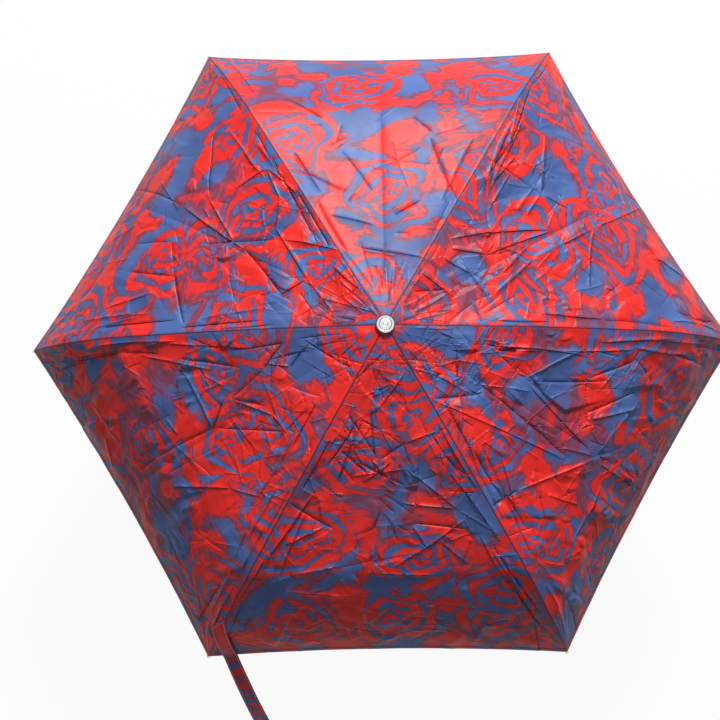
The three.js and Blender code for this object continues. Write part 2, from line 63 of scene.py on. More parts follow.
# %% [markdown]
# ## Camera
#
# The photograph looks almost straight down on the open canopy. The camera's place was worked out from
# the six tips and the cap: it stands about four canopy radii from the cap and leans a little to the
# strap's side, so the panels on that side, the near ones, look larger than the far ones.

# %% Camera
CAP_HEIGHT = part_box("silver_cap")[1].z
TIP_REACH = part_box("rib_tip_1")[1].x
CAMERA_DISTANCE = 4.0 * TIP_REACH
CAMERA_SHIFT = Vector((-0.066, -0.094, 0)) * TIP_REACH
CAMERA_LEAN = math.radians(-7.9)
CAMERA_ROLL = math.radians(0.72)
CAMERA_LENS = 77.3
SENSOR_WIDTH = 36  # millimetres, like the lens


def add_object(name, data):
    thing = bpy.data.objects.new(name, data)
    bpy.context.scene.collection.objects.link(thing)
    return thing


def add_camera():
    turn = Matrix.Rotation(CAMERA_LEAN, 3, "X") @ Matrix.Rotation(CAMERA_ROLL, 3, "Z")
    data = bpy.data.cameras.new("camera")
    data.lens = CAMERA_LENS
    data.sensor_width = SENSOR_WIDTH
    camera = add_object("camera", data)
    place = turn.transposed() @ (CAMERA_SHIFT + Vector((0, 0, CAMERA_DISTANCE)))
    over_cap = Matrix.Translation(place + Vector((0, 0, CAP_HEIGHT)))
    camera.matrix_world = over_cap @ turn.transposed().to_4x4()
    bpy.context.scene.camera = camera
    return camera


camera = add_camera()
print("camera at", [round(x, 3) for x in camera.matrix_world.translation])

# %% [markdown]
# ## Shader sums as Python
#
# A pattern is mostly arithmetic. With these a plain expression, such as 1 - mask, adds the Math nodes
# for it.


# %% Shader sums
def add_node(tree, kind, settings=None, output=0, **sockets):
    """An output of a new shader node; an input is named, or given as i and its number"""
    node = tree.nodes.new("ShaderNode" + kind)
    for name, value in (settings or {}).items():
        setattr(node, name, value)
    for name, value in sockets.items():
        slot = node.inputs[int(name[1:]) if name[1:].isdigit() else name]
        if isinstance(value, Value):
            tree.links.new(value.socket, slot)
        else:
            slot.default_value = value
    return Value(tree, node.outputs[output])


class Value:
    """The output of a node, which can be added, multiplied and so on"""

    def __init__(self, tree, socket):
        self.tree = tree
        self.socket = socket

    def math(self, operation, other=0.0):
        return add_node(self.tree, "Math", {"operation": operation}, i0=self, i1=other)

    __add__ = __radd__ = partialmethod(math, "ADD")
    __sub__ = partialmethod(math, "SUBTRACT")
    __mul__ = partialmethod(math, "MULTIPLY")
    __truediv__ = partialmethod(math, "DIVIDE")

    def __rsub__(self, other):
        return self.math("MULTIPLY", -1).math("ADD", other)

    def between(self, low, high):
        """0 below low, 1 above high, and a smooth step from one to the other"""
        smooth_step = {"interpolation_type": "SMOOTHSTEP"}
        return add_node(self.tree, "MapRange", smooth_step, i0=self, i1=low, i2=high)


# %% [markdown]
# A finish is one material. It has methods for its nodes, so that each finish below reads as a short
# recipe: where the pattern lies, what it does, and what it gives the colour, roughness and relief.


# %% Finishes
def srgb(red, green, blue):
    """A colour as seen on a screen, 0 to 255, as the linear one that the shader wants"""
    shares = [x / 255 for x in (red, green, blue)]
    return tuple(x / 12.92 if x <= 0.04045 else ((x + 0.055) / 1.055) ** 2.4 for x in shares) + (1.0,)


class Finish:
    def __init__(self, name, **sockets):
        self.material = bpy.data.materials.new(name)
        self.material.use_nodes = True
        self.tree = self.material.node_tree
        self.shader = self.tree.nodes["Principled BSDF"]
        for socket, value in sockets.items():
            self.shader.inputs[socket.replace("_", " ")].default_value = value

    def node(self, *details, **sockets):
        return add_node(self.tree, *details, **sockets)

    def object_place(self, scale=(1, 1, 1)):
        place = self.node("TexCoord", None, "Object")
        return self.node("Mapping", Vector=place, Scale=scale)

    def uv(self, name):
        return self.node("UVMap", {"uv_map": name})

    def parts(self, vector):
        node = self.tree.nodes.new("ShaderNodeSeparateXYZ")
        self.tree.links.new(vector.socket, node.inputs[0])
        return [Value(self.tree, out) for out in node.outputs]

    def noise(self, vector, scale, detail=2.0, roughness=0.5, output=0):
        shape = {"Vector": vector, "Scale": scale, "Detail": detail, "Roughness": roughness}
        return self.node("TexNoise", None, output, **shape)

    def mix(self, share, first, second):
        return self.node("Mix", {"data_type": "RGBA"}, 2, i0=share, i6=first, i7=second)

    def done(self, colour, roughness, height):
        """The material, with its colour, its roughness and a relief in metres that only shading shows"""
        relief = self.node("Bump", Height=height, Distance=1.0, Strength=1.0)
        for socket, value in (("Base Color", colour), ("Roughness", roughness), ("Normal", relief)):
            self.tree.links.new(value.socket, self.shader.inputs[socket])
        return self.material


# %% [markdown]
# ## The cloth's shape
#
# Each panel is stretched between two ribs, so a line from rib to rib is nearly straight, and the
# canopy bends mostly along the ribs. The ridge over one rib is read from the frame. A smooth curve
# through its points keeps the rib's knuckles from showing as corners.


# %% Ridge over a rib
def ridge_points():
    """The upper edge of panel 1 over rib 1, as distance from the shaft and height"""
    corners = np.array([v.co for v in nodes["canopy_gore_1"].data.vertices])
    on_rib = corners[np.abs(corners[:, 1]) < 0.3 * MM]
    found = {}
    for x, _, z in on_rib:
        key = round(x / MM, 1)
        found[key] = max(found.get(key, (x, z)), (x, z), key=lambda p: p[1])
    return np.array([found[key] for key in sorted(found)])


RIDGE = ridge_points()
STATIONS = len(RIDGE) - 1
INNER_STATION = 4  # over the inner knuckle
OUTER_STATION = 8  # over the outer knuckle


def smooth_curve(points, at):
    """Catmull-Rom curve through rows of coordinates, at places that count the rows"""
    padded = np.vstack([2 * points[0] - points[1], points, 2 * points[-1] - points[-2]])
    low = np.clip(at.astype(int), 0, len(points) - 2)
    t = (at - low)[:, None]
    a, b, c, d = (padded[low + i] for i in range(4))
    return 0.5 * (2 * b + (c - a) * t + (2 * a - 5 * b + 4 * c - d) * t**2 + (3 * b - a - 3 * c + d) * t**3)


print("ridge:", len(RIDGE), "points, out to", round(RIDGE[-1, 0], 4))

# %% [markdown]
# A grid of points carries each panel: rows run from the crown to the rim, and columns from one rib to
# the next. The cloth hangs like a tent from each rib, sags a little in the middle, keeps the fold in
# which it is put away, and its rim bows inward between two tips.

# %% Cloth grid
ROWS = (78, 76, 88)  # of cells over the inner, middle and outer rib
HALF_COLUMNS = 104
COLUMNS = 2 * HALF_COLUMNS
ROW_LIMITS = (0, ROWS[0], ROWS[0] + ROWS[1], sum(ROWS))
CLOTH_THICKNESS = 0.25 * MM
PANEL_SAG = 5 * MM
MIDDLE_CREASE = 2 * MM
MIDDLE_CREASE_WIDTH = 6 * MM
TENT_DROP = 2.6 * MM
TENT_WIDTH = 15 * MM
RIM_BOW = 7 * MM
HEM_WIDTH = 7 * MM
HEM_LIFT = 0.35 * MM


def row_stations():
    limits = (0, INNER_STATION, OUTER_STATION, STATIONS)
    runs = [np.linspace(limits[i], limits[i + 1], ROWS[i] + 1)[(1 if i else 0):] for i in range(3)]
    return np.concatenate(runs)


def way_along(line):
    """The way from the first point of a line to each of its points"""
    return np.concatenate([[0], np.cumsum(np.linalg.norm(np.diff(line, axis=0), axis=1))])


STATION_OF_ROW = row_stations()
LINE = smooth_curve(RIDGE, STATION_OF_ROW)
ALONG = way_along(LINE)
SHARE = np.linspace(0, 1, COLUMNS + 1)
CHORD = 2 * LINE[:, 0] * math.sin(SECTOR / 2)
ACROSS = (SHARE[None, :] - 0.5) * CHORD[:, None]
ALONG_GRID = np.repeat(ALONG[:, None], COLUMNS + 1, axis=1)
FROM_SEAM = np.minimum(SHARE, 1 - SHARE)[None, :] * CHORD[:, None]
CUT_LENGTH = ALONG[-1]
# Laid flat, the rows are parallel, and the seam crosses from row to row at a slant
ROW_GAPS = np.sqrt(np.diff(ALONG) ** 2 - (np.diff(CHORD) / 2) ** 2)


def smooth(x, low, high):
    t = np.clip((x - low) / (high - low), 0, 1)
    return t * t * (3 - 2 * t)


def stretched_panel(index):
    """Grid points of one panel, between rib index and the next, before its creases"""
    rho, height = LINE[:, 0][:, None], LINE[:, 1][:, None]
    reach = (STATION_OF_ROW / STATIONS)[:, None]
    share = SHARE[None, :]
    belly = 4 * share * (1 - share)
    start, middle = index * SECTOR, (index + 0.5) * SECTOR
    inward = RIM_BOW * belly * reach**3
    x, y = (
        rho * ((1 - share) * turn(start) + share * turn(start + SECTOR)) - inward * turn(middle)
        for turn in (math.cos, math.sin)
    )
    fold = np.exp(-np.abs(ACROSS) / MIDDLE_CREASE_WIDTH)
    tent = TENT_DROP * (1 - np.exp(-FROM_SEAM / TENT_WIDTH)) * smooth(ALONG_GRID, 0.01, 0.09)
    z = height - (PANEL_SAG * belly + MIDDLE_CREASE * fold) * np.sin(math.pi * reach) - tent
    return np.stack([x, y, z], axis=2)


def grid_normals(points):
    normals = np.cross(np.gradient(points, axis=0), np.gradient(points, axis=1))
    return normals / np.linalg.norm(normals, axis=2, keepdims=True)


print("cloth grid:", len(ALONG), "by", COLUMNS + 1, "points a panel, cut length", round(CUT_LENGTH, 4))

# %% [markdown]
# ## Creases
#
# A compact umbrella lives folded in its sleeve, so its cloth keeps sharp, straight creases that no
# tension pulls out. They catch the light, so their swell is geometry. The long ones lie where the
# photograph shows them. A pixel is turned into a place on the cloth by asking which grid point the
# camera sees there.

# %% Where the long creases run
PHOTO_SIZE = 720
# Each row of numbers is one crease, or several end to end, through pixels of the photograph: x, y
CREASE_PATHS = (
    (  # panel 1
        (449, 239, 552, 230), (485, 255, 552, 231), (451, 248, 485, 255), (487, 158, 544, 195, 567, 208),
        (545, 133, 542, 195, 527, 216), (592, 229, 533, 260, 495, 294), (592, 229, 640, 208),
        (592, 229, 589, 292), (529, 244, 502, 273), (489, 298, 459, 260), (443, 258, 470, 273),
        (413, 292, 445, 290), (516, 92, 504, 168), (525, 103, 508, 145), (624, 193, 643, 202),
        (613, 155, 638, 195), (651, 258, 693, 281), (535, 185, 516, 210), (508, 176, 489, 210),
        (422, 273, 453, 298), (638, 235, 670, 277),
    ),
    (  # panel 2
        (283, 97, 324, 120), (342, 150, 374, 192), (413, 116, 434, 132), (361, 247, 425, 258),
        (299, 169, 347, 192), (430, 136, 459, 201), (329, 214, 374, 224), (395, 214, 420, 201),
        (228, 61, 257, 97), (498, 86, 531, 65),
    ),
    (  # panel 3
        (133, 190, 183, 207, 244, 249, 281, 295), (275, 227, 307, 279, 333, 312),
        (268, 168, 281, 199, 276, 229), (244, 151, 259, 171), (268, 168, 298, 194), (235, 190, 268, 168),
        (213, 134, 209, 194), (207, 194, 235, 242), (172, 242, 174, 268, 183, 325), (200, 244, 279, 240),
        (285, 240, 344, 246), (281, 295, 305, 279), (127, 272, 174, 277), (81, 301, 105, 268),
        (339, 279, 378, 316), (322, 299, 374, 312), (333, 266, 361, 290), (135, 244, 172, 242),
        (105, 309, 153, 294), (161, 181, 179, 210),
    ),
    (  # panel 4
        (140, 471, 156, 459, 214, 428, 287, 432, 310, 408),
        (287, 432, 273, 415, 230, 399, 263, 370, 283, 343), (214, 428, 187, 375), (156, 491, 187, 533),
        (140, 473, 190, 553), (172, 486, 230, 488, 263, 497), (263, 363, 290, 366, 308, 343, 350, 368),
        (214, 428, 225, 397), (140, 355, 212, 370), (165, 343, 254, 348), (91, 401, 140, 473),
        (165, 419, 178, 435), (254, 515, 236, 558), (230, 399, 265, 406), (178, 359, 241, 368),
        (107, 437, 114, 468), (165, 531, 183, 567),
    ),
    (  # panel 5
        (344, 410, 378, 460), (372, 406, 376, 458), (380, 460, 406, 443, 437, 432), (350, 477, 411, 469),
        (359, 464, 406, 486), (372, 460, 398, 486), (363, 482, 393, 460), (406, 469, 459, 510, 498, 534),
        (402, 503, 456, 508), (409, 523, 469, 529), (469, 516, 393, 566), (287, 503, 333, 529),
        (285, 545, 324, 527), (372, 571, 437, 575), (289, 575, 337, 566), (439, 538, 469, 564),
        (350, 380, 385, 352), (376, 410, 406, 371), (285, 592, 354, 597), (413, 525, 428, 549),
        (341, 451, 367, 473), (411, 603, 476, 608),
    ),
    (  # panel 6
        (488, 347, 526, 381, 594, 454), (463, 372, 571, 461), (429, 399, 568, 461), (594, 458, 640, 399),
        (594, 458, 518, 490, 491, 507), (598, 463, 634, 490), (587, 378, 587, 431), (583, 349, 526, 378),
        (526, 381, 611, 381), (592, 378, 634, 362), (587, 414, 636, 393), (585, 421, 640, 408),
        (432, 399, 484, 393), (501, 456, 518, 519), (594, 456, 560, 448), (634, 357, 653, 385),
        (535, 469, 547, 536), (413, 368, 438, 376, 459, 387), (457, 349, 457, 385), (547, 494, 579, 505),
        (602, 482, 573, 541), (638, 490, 665, 435), (564, 559, 585, 545),
    ),
)


def seen_at(points):
    """Pixels of the photograph at which the camera sees these points"""
    matrix = np.array(camera.matrix_world.inverted())
    local = points.reshape(-1, 3) @ matrix[:3, :3].T + matrix[:3, 3]
    focal = CAMERA_LENS / SENSOR_WIDTH * PHOTO_SIZE
    pixels = np.stack([local[:, 0], -local[:, 1]], 1) / -local[:, 2:3] * focal + PHOTO_SIZE / 2
    return pixels.reshape(points.shape[:2] + (2,))


def on_cloth(pixels, pixel):
    """Flat place, across and along, of the grid point nearest to a pixel"""
    nearest = np.argmin(((pixels - np.array(pixel)) ** 2).sum(axis=2))
    return np.array([ACROSS.ravel()[nearest], ALONG_GRID.ravel()[nearest]])


# %% [markdown]
# A fold line is steep on one side and shallow on the other, because cloth that was folded flat opens
# again on its slack side. Its broad swell is moved points. Its crisp edge is thinner than a cell of the
# grid, so each point keeps its distance from the nearest crease and that crease's height, and the
# cloth's finish raises the edge from these two numbers. Along one crease the distance stays right between
# grid points, so the edge is crisp at any size. Between two creases it doesn't, so the height is dropped
# there. Two such layers, filled in turn, let creases cross.


# %% Fold lines
LONG_WIDTHS = (2.2 * MM, 4.0 * MM)
LONG_HEIGHTS = (1.1 * MM, 2.1 * MM)
SHORT_WIDTHS = (1.6 * MM, 3.0 * MM)
SHORT_HEIGHTS = (0.2 * MM, 0.7 * MM)
SHORTEST_CREASE = 4 * MM
NO_CREASE_DISTANCE = 0.05
EDGE_FULL = 3 * MM  # a crease's crisp edge is whole as far from it as this
EDGE_NONE = 6 * MM  # and gone from here on
EDGE_FROM_SEAM = 4 * MM  # it fades in over this much beside the seam
EDGE_BORDER = 1.5 * MM  # where another crease takes over, it is kept only as near as this


class CreaseMap:
    """The swell of a panel's creases, and two layers of distance and height for their crisp edges"""

    def __init__(self, draw):
        self.draw = draw
        self.lift = np.zeros_like(ACROSS)
        self.distance, self.height, self.owner = (
            [np.full_like(ACROSS, start) for _ in range(2)] for start in (NO_CREASE_DISTANCE, 0.0, -1.0)
        )
        self.count = 0

    def add(self, first, second, width, height):
        """One crease between two flat places"""
        centre = (first + second) / 2
        run_x, run_y = second - first
        length = math.hypot(run_x, run_y)
        if length < SHORTEST_CREASE:
            return
        reach = length / 2 + 8 * width
        near = (np.abs(ACROSS - centre[0]) < reach) & (np.abs(ALONG_GRID - centre[1]) < reach)
        dx, dy = ACROSS[near] - centre[0], ALONG_GRID[near] - centre[1]
        run = (dx * run_x + dy * run_y) / length
        off = (dy * run_x - dx * run_y) / length
        off += 0.02 * length * np.cos(math.pi * run / length) * self.draw.uniform(-1, 1)
        fade = np.clip(1.3 * (1 - np.abs(2 * run / length) ** 3), 0, 1)
        soft = np.sqrt(off**2 + (0.5 * width) ** 2)
        self.lift[near] += height * fade * np.exp(-np.where(off > 0, soft / width, soft / (2.5 * width)))
        layer = self.count % 2
        closer = (np.abs(off) < np.abs(self.distance[layer][near])) & (fade > 0)
        values = (off, height * fade, float(self.count))
        for kept, value in zip((self.distance[layer], self.height[layer], self.owner[layer]), values):
            kept[near] = np.where(closer, value, kept[near])
        self.count += 1

    def edge_layers(self):
        """Distance and height of each layer, without the false edges between two creases' places"""
        for distance, height, owner in zip(self.distance, self.height, self.owner):
            border = np.zeros(owner.shape, dtype=bool)
            for grid, marks in ((owner, border), (owner.T, border.T)):
                change = grid[1:] != grid[:-1]
                marks[1:] |= change
                marks[:-1] |= change
            off = np.abs(distance)
            kept = (1 - smooth(off, EDGE_FULL, EDGE_NONE)) * ~(border & (off > EDGE_BORDER))
            yield distance, height * kept

    def add_random(self, first, angle, lengths, widths=SHORT_WIDTHS, heights=SHORT_HEIGHTS):
        """One crease from a flat place in a direction, with the rest drawn from ranges"""
        second = towards(first, angle, self.draw.uniform(*lengths))
        self.add_between(first, second, widths, heights)

    def add_between(self, first, second, widths, heights):
        """One crease between two flat places, up or down, with its width and height drawn from ranges"""
        width = self.draw.uniform(*widths)
        self.add(first, second, width, self.draw.uniform(*heights) * self.draw.choice((-1, 1)))


def towards(place, angle, length):
    return place + length * np.array([math.cos(angle), math.sin(angle)])


def panel_half_width(along):
    return np.interp(along, ALONG, CHORD) / 2


def waves(draw, count, size, height):
    """Soft swells: a sum of slow waves in seeded directions"""
    total = np.zeros_like(ACROSS)
    for _ in range(count):
        angle = draw.uniform(0, 2 * math.pi)
        length = size * draw.uniform(0.6, 1.6)
        phase = draw.uniform(0, 2 * math.pi)
        place = ACROSS * math.cos(angle) + ALONG_GRID * math.sin(angle)
        total += np.sin(2 * math.pi * place / length + phase)
    return total * height / math.sqrt(count)


# %% [markdown]
# Cloth that was pressed into a small bundle also keeps flat facets that meet at straight ridges and
# valleys. A random net of cells gives them: each point rises with its distance from the border of its
# cell, which makes every cell a low pyramid. Cells are longer along the ribs than across, because the
# cloth is stretched between the ribs.

# %% Facets
FACET_STRETCH_SHARE = 0.55
# Two sizes of facets: distance between cells, slope, and the size of the patches that have them
FACETS = ((42 * MM, 0.09, 0.11), (19 * MM, 0.13, 0.06))


def border_distance(draw, spacing):
    """Distance of each grid point from the border of its cell"""
    half, reach = CHORD[-1] / 2, CUT_LENGTH * FACET_STRETCH_SHARE
    count = int(2 * half * reach / spacing**2)
    cells = np.array([(draw.uniform(-half, half), draw.uniform(0, reach)) for _ in range(count)])
    x, y = ACROSS[..., None], (ALONG_GRID * FACET_STRETCH_SHARE)[..., None]
    away = (x - cells[:, 0]) ** 2 + (y - cells[:, 1]) ** 2
    two = np.argpartition(away, (0, 1), axis=2)[..., :2]
    near, second = np.moveaxis(np.take_along_axis(away, two, axis=2), 2, 0)
    apart = np.linalg.norm(cells[two[..., 0]] - cells[two[..., 1]], axis=2)
    return (second - near) / (2 * apart)


def facets(draw):
    total = np.zeros_like(ACROSS)
    for spacing, slope, patch in FACETS:
        patches = 0.15 + smooth(waves(draw, 6, patch, 1.0), -0.1, 0.8)
        total += border_distance(draw, spacing) * slope * patches
    return total


# %% [markdown]
# Short creases, stars and pleats are drawn by a seeded generator. More of them lie in the panels that
# are the most crumpled, and pleats run out of the crown, along the ribs and into the tips, where the
# cloth is held.

# %% Creases of one panel
CRUMPLE = (0.9, 0.25, 0.8, 1.15, 1.1, 1.35)  # how crumpled each panel is
SHORT_CREASES = 130
STARS = 6
CROWN_PLEATS = 10
TIP_PLEATS = 8
SIDE_PLEATS = 8
SHORT_LENGTHS = (0.012, 0.055)
SPOKE_LENGTHS = (0.018, 0.05)
CROWN_PLEAT_LENGTHS = (0.03, 0.075)
TIP_PLEAT_LENGTHS = (0.04, 0.11)
PANEL_SEED = 211
SEAM_HOLD = 14 * MM  # creases fade out towards the seam, the crown and the rim over these lengths
CROWN_HOLD = 25 * MM
RIM_HOLD = 35 * MM
KNUCKLE_DENT = 0.6 * MM
KNUCKLE_DENT_WIDTH = 3 * MM
KNUCKLE_DENT_REACH = 60 * MM
SEAM_GROOVE = 0.5 * MM
SEAM_GROOVE_WIDTH = 2.2 * MM


def long_creases(creases, pixels, paths):
    """The creases of the photograph, about two in three of them raised"""
    draw = creases.draw
    for path in paths:
        places = [on_cloth(pixels, pixel) for pixel in zip(path[::2], path[1::2])]
        for first, second in zip(places, places[1:]):
            sign = draw.choice((-1, 1), p=(0.35, 0.65))
            creases.add(first, second, draw.uniform(*LONG_WIDTHS), draw.uniform(*LONG_HEIGHTS) * sign)


def random_place(draw, low, high, share):
    """A flat place between two shares of the panel's height, within a share of its width"""
    along = CUT_LENGTH * draw.uniform(low, high)
    return np.array([share * panel_half_width(along) * draw.uniform(-1, 1), along])


def short_creases(creases, amount):
    """Single creases and stars of six"""
    draw = creases.draw
    for _ in range(int(SHORT_CREASES * amount)):
        place = random_place(draw, 0.08, 0.98, 0.9)
        creases.add_random(place, draw.uniform(0, 2 * math.pi), SHORT_LENGTHS)
    for _ in range(int(STARS * amount)):
        place = random_place(draw, 0.15, 0.85, 0.6)
        turn = draw.uniform(0, math.pi)
        for spoke in range(6):
            angle = turn + spoke * math.pi / 3 + draw.uniform(-0.3, 0.3)
            creases.add_random(place, angle, SPOKE_LENGTHS)


def pleats(creases, amount):
    """Pleats that run out of the crown, into both tips and beside the ribs"""
    draw = creases.draw
    for _ in range(CROWN_PLEATS):
        angle = math.pi / 2 + draw.uniform(-0.5, 0.5)
        start = towards(np.zeros(2), angle, draw.uniform(0.02, 0.05))
        angle += draw.uniform(-0.25, 0.25)
        creases.add_random(start, angle, CROWN_PLEAT_LENGTHS)
    for side in (-1, 1):
        tip = np.array([side * CHORD[-1] / 2, CUT_LENGTH])
        for _ in range(TIP_PLEATS):
            angle = -math.pi / 2 - side * draw.uniform(-0.15, 1.1)
            start = towards(tip, angle, draw.uniform(0.008, 0.03))
            creases.add_random(start, angle, TIP_PLEAT_LENGTHS, LONG_WIDTHS)
        for _ in range(int(SIDE_PLEATS * amount)):
            along, length = draw.uniform(0.08, 0.42), draw.uniform(0.05, 0.12)
            away = draw.uniform(5, 34) * MM
            away_at_end = away * draw.uniform(0.4, 1.4)
            start = np.array([side * (panel_half_width(along) - away), along])
            end = np.array([side * (panel_half_width(along + length) - away_at_end), along + length])
            creases.add_between(start, end, LONG_WIDTHS, LONG_HEIGHTS)


def creased_panel(index):
    """A panel's grid points and unit normals with its creases, dents, groove and hem, and its crease map"""
    draw = np.random.default_rng(PANEL_SEED + index)
    amount = CRUMPLE[index]
    points = stretched_panel(index)
    creases = CreaseMap(draw)
    creases.lift += waves(draw, 7, 0.10, 0.5 * amount * MM) + waves(draw, 9, 0.038, 0.2 * amount * MM)
    creases.lift += facets(draw) * amount
    long_creases(creases, seen_at(points), CREASE_PATHS[index])
    short_creases(creases, amount)
    pleats(creases, amount)
    held = smooth(FROM_SEAM, 0, SEAM_HOLD) * smooth(ALONG_GRID, 0, CROWN_HOLD)
    held *= 1 - 0.9 * smooth(ALONG_GRID, CUT_LENGTH - RIM_HOLD, CUT_LENGTH)
    calm = min(1.0, 0.3 + amount)
    lift = creases.lift * calm
    for limit in ROW_LIMITS[1:3]:
        away = np.abs(ALONG_GRID - ALONG[limit])
        dent = KNUCKLE_DENT * np.exp(-away / KNUCKLE_DENT_WIDTH)
        lift -= dent * np.exp(-FROM_SEAM / KNUCKLE_DENT_REACH)
    lift *= held
    lift -= SEAM_GROOVE * np.exp(-((FROM_SEAM / SEAM_GROOVE_WIDTH) ** 2))
    hem_start = CUT_LENGTH - HEM_WIDTH
    lift += HEM_LIFT * smooth(ALONG_GRID, hem_start - 1 * MM, hem_start + 1 * MM)
    points = points + lift[:, :, None] * grid_normals(points)
    edges = [(d, h * calm * smooth(FROM_SEAM, 0, EDGE_FROM_SEAM)) for d, h in creases.edge_layers()]
    return points, grid_normals(points), edges


PANELS = [creased_panel(i) for i in range(RIBS)]
LONG_COUNT = sum(len(path) // 2 - 1 for paths in CREASE_PATHS for path in paths)
print("creases:", LONG_COUNT, "from the photograph, others drawn")

# %% [markdown]
# ## Cutting the cloth so that it can fold
#
# On the real umbrella one cloth folds in pleats between the ribs. Here each half panel is cut where a
# pleat starts: at the middle line and over the two knuckles. A piece rides on the rib part under it as
# the umbrella folds. Neighbours share their border points, so nothing shows at rest.


# %% Cloth pieces
def shell(name, points, normals, uv_maps, thickness):
    """A closed thin sheet from a grid: upper face, lower face and rim, with UV maps of the grid"""
    rows, columns = points.shape[0] - 1, points.shape[1] - 1
    layer = (rows + 1) * (columns + 1)
    corners = np.concatenate([points.reshape(-1, 3), (points - thickness * normals).reshape(-1, 3)])
    at = np.arange(layer).reshape(rows + 1, columns + 1)
    a, b, c, d = at[:-1, :-1].ravel(), at[1:, :-1].ravel(), at[1:, 1:].ravel(), at[:-1, 1:].ravel()
    loop = np.concatenate([at[:, 0], at[-1, 1:], at[-2::-1, -1], at[0, -2::-1]])
    faces = np.concatenate([
        np.stack([a, b, c, d], 1),
        np.stack([d, c, b, a], 1) + layer,
        np.stack([loop[1:], loop[:-1], loop[:-1] + layer, loop[1:] + layer], 1),
    ])
    mesh = bpy.data.meshes.new(name)
    mesh.vertices.add(len(corners))
    mesh.vertices.foreach_set("co", corners.astype(np.float32).ravel())
    mesh.loops.add(faces.size)
    mesh.loops.foreach_set("vertex_index", faces.astype(np.int32).ravel())
    mesh.polygons.add(len(faces))
    mesh.polygons.foreach_set("loop_start", np.arange(0, faces.size, 4, dtype=np.int32))
    mesh.update(calc_edges=True)
    mesh.polygons.foreach_set("use_smooth", np.ones(len(faces), bool))
    for map_name, (u, v) in uv_maps.items():
        both = np.tile(np.stack([u.ravel(), v.ravel()], 1), (2, 1))
        corners_uv = both[faces.ravel()].astype(np.float32)
        mesh.uv_layers.new(name=map_name).data.foreach_set("uv", corners_uv.ravel())
    ends = np.empty(2 * len(mesh.edges), np.int32)
    mesh.edges.foreach_get("vertices", ends)
    ends = np.sort(ends.reshape(-1, 2), axis=1)
    rim = np.sort(np.stack([loop[:-1], loop[1:]], 1), axis=1)
    rim_keys = np.concatenate([rim, rim + layer]) @ np.array([2 * layer, 1])
    sharp = np.isin(ends @ np.array([2 * layer, 1]), rim_keys)
    mesh.attributes.new("sharp_edge", "BOOLEAN", "EDGE").data.foreach_set("value", sharp)
    return add_object(name, mesh)


SEGMENTS = ("inner", "middle", "outer")
# The two halves of a panel: name, side of its rib, columns of the grid, and ribs on from the panel's own
HALVES = (("near", 1, slice(0, HALF_COLUMNS + 1), 0), ("far", -1, slice(HALF_COLUMNS, COLUMNS + 1), 1))
PRINT_SHIFT = ((0.13, 0.27), (0.93, 0.41), (0.52, 1.34), (1.71, 0.66), (1.26, 1.93), (0.38, 2.45))


def level(turn):
    """The level direction at an angle about the shaft"""
    return Vector((math.cos(turn), math.sin(turn), 0))


def fold_with_rib(piece, rib, side, segment):
    """Let a piece ride on its rib part"""
    turn = rib * SECTOR
    outward = level(turn)
    first, last = (LINE[limit] for limit in ROW_LIMITS[segment:segment + 2])
    run = (outward * (last[0] - first[0]) + Vector((0, 0, last[1] - first[1]))).normalized()
    chord = level(turn + side * (math.pi / 2 + SECTOR / 2))
    axis = (chord - run * chord.dot(run)).normalized()
    anchor = outward * first[0] + Vector((0, 0, first[1]))
    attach(piece, f"{SEGMENTS[segment]}_{rib + 1}")
    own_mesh(piece)


def cut_panel(index, material):
    points, normals, creases = PANELS[index]
    shift = PRINT_SHIFT[index]
    maps = {
        "print": (ACROSS + shift[0], ALONG_GRID + shift[1]),
        "edge": (FROM_SEAM, CUT_LENGTH - ALONG_GRID),
        "crease_1": creases[0],
        "crease_2": creases[1],
    }
    made = []
    for half, side, columns, step in HALVES:
        rib = (index + step) % RIBS
        for segment in range(3):
            start, end = ROW_LIMITS[segment:segment + 2]
            rows = slice(start, end + 1)
            name = f"cloth_{index + 1}_{half}_{SEGMENTS[segment]}"
            own = {key: tuple(x[rows, columns] for x in value) for key, value in maps.items()}
            piece = shell(name, points[rows, columns], normals[rows, columns], own, CLOTH_THICKNESS)
            piece.data.materials.append(material)
            fold_with_rib(piece, rib, side, segment)
            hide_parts(f"canopy_gore_{index + 1}")
            strips = (CHORD[rows][1:] + CHORD[rows][:-1]) / 4
            gaps = ROW_GAPS[start:end]
            area = float((strips * gaps).sum())
            flat = (CHORD[rows].max() / 2, float(gaps.sum()))
            under = [f"{SEGMENTS[segment]}_rib_{rib + 1}"]
            made.append(piece)
    return made


# %% [markdown]
# ## The print
#
# The cloth is printed in two inks, red and blue: solid drops of ink, and between them whorls that look
# drawn with a dry brush. The pattern is laid out across the panel and along its seam, so that it runs off
# the edge at each seam as cut cloth does. Every whorl is one cell of a Voronoi pattern, and noise
# stretched along its rings gives the brush marks.

# %% Printed cloth
RED = srgb(211, 39, 33)
DEEP_RED = srgb(178, 28, 34)
BLUE = srgb(68, 93, 148)
DARK_BLUE = srgb(56, 77, 128)
OVERPRINT = srgb(96, 44, 58)  # where one ink lies thinly over the other
OVERPRINT_SHARE = 0.8
# painted shade: the colour that darkens the print along each seam and at the edge of the turned hem
PAINTED_SHADE_COLOUR = srgb(28, 28, 48)
PRINT_DRIFT = 0.045  # how far the pattern is pulled about
WHORL_SPACING = 0.112
RING_SPACING = 0.0145
STROKES_A_METRE = 55
HAIRS_A_METRE = 480
RING_GROWTH_SHARE = 0.75  # rings stand farther apart the farther out they are
RED_EXCESS = 0.07  # shifts the balance of the inks from blue to red
# how far the painted shade reaches from each seam, and from the edge of the turned hem
SEAM_LINE = (0.3 * MM, 1.9 * MM)  # a shade is full up to the first distance, gone from the second
HEM_LINE = (0.1 * MM, 0.7 * MM)


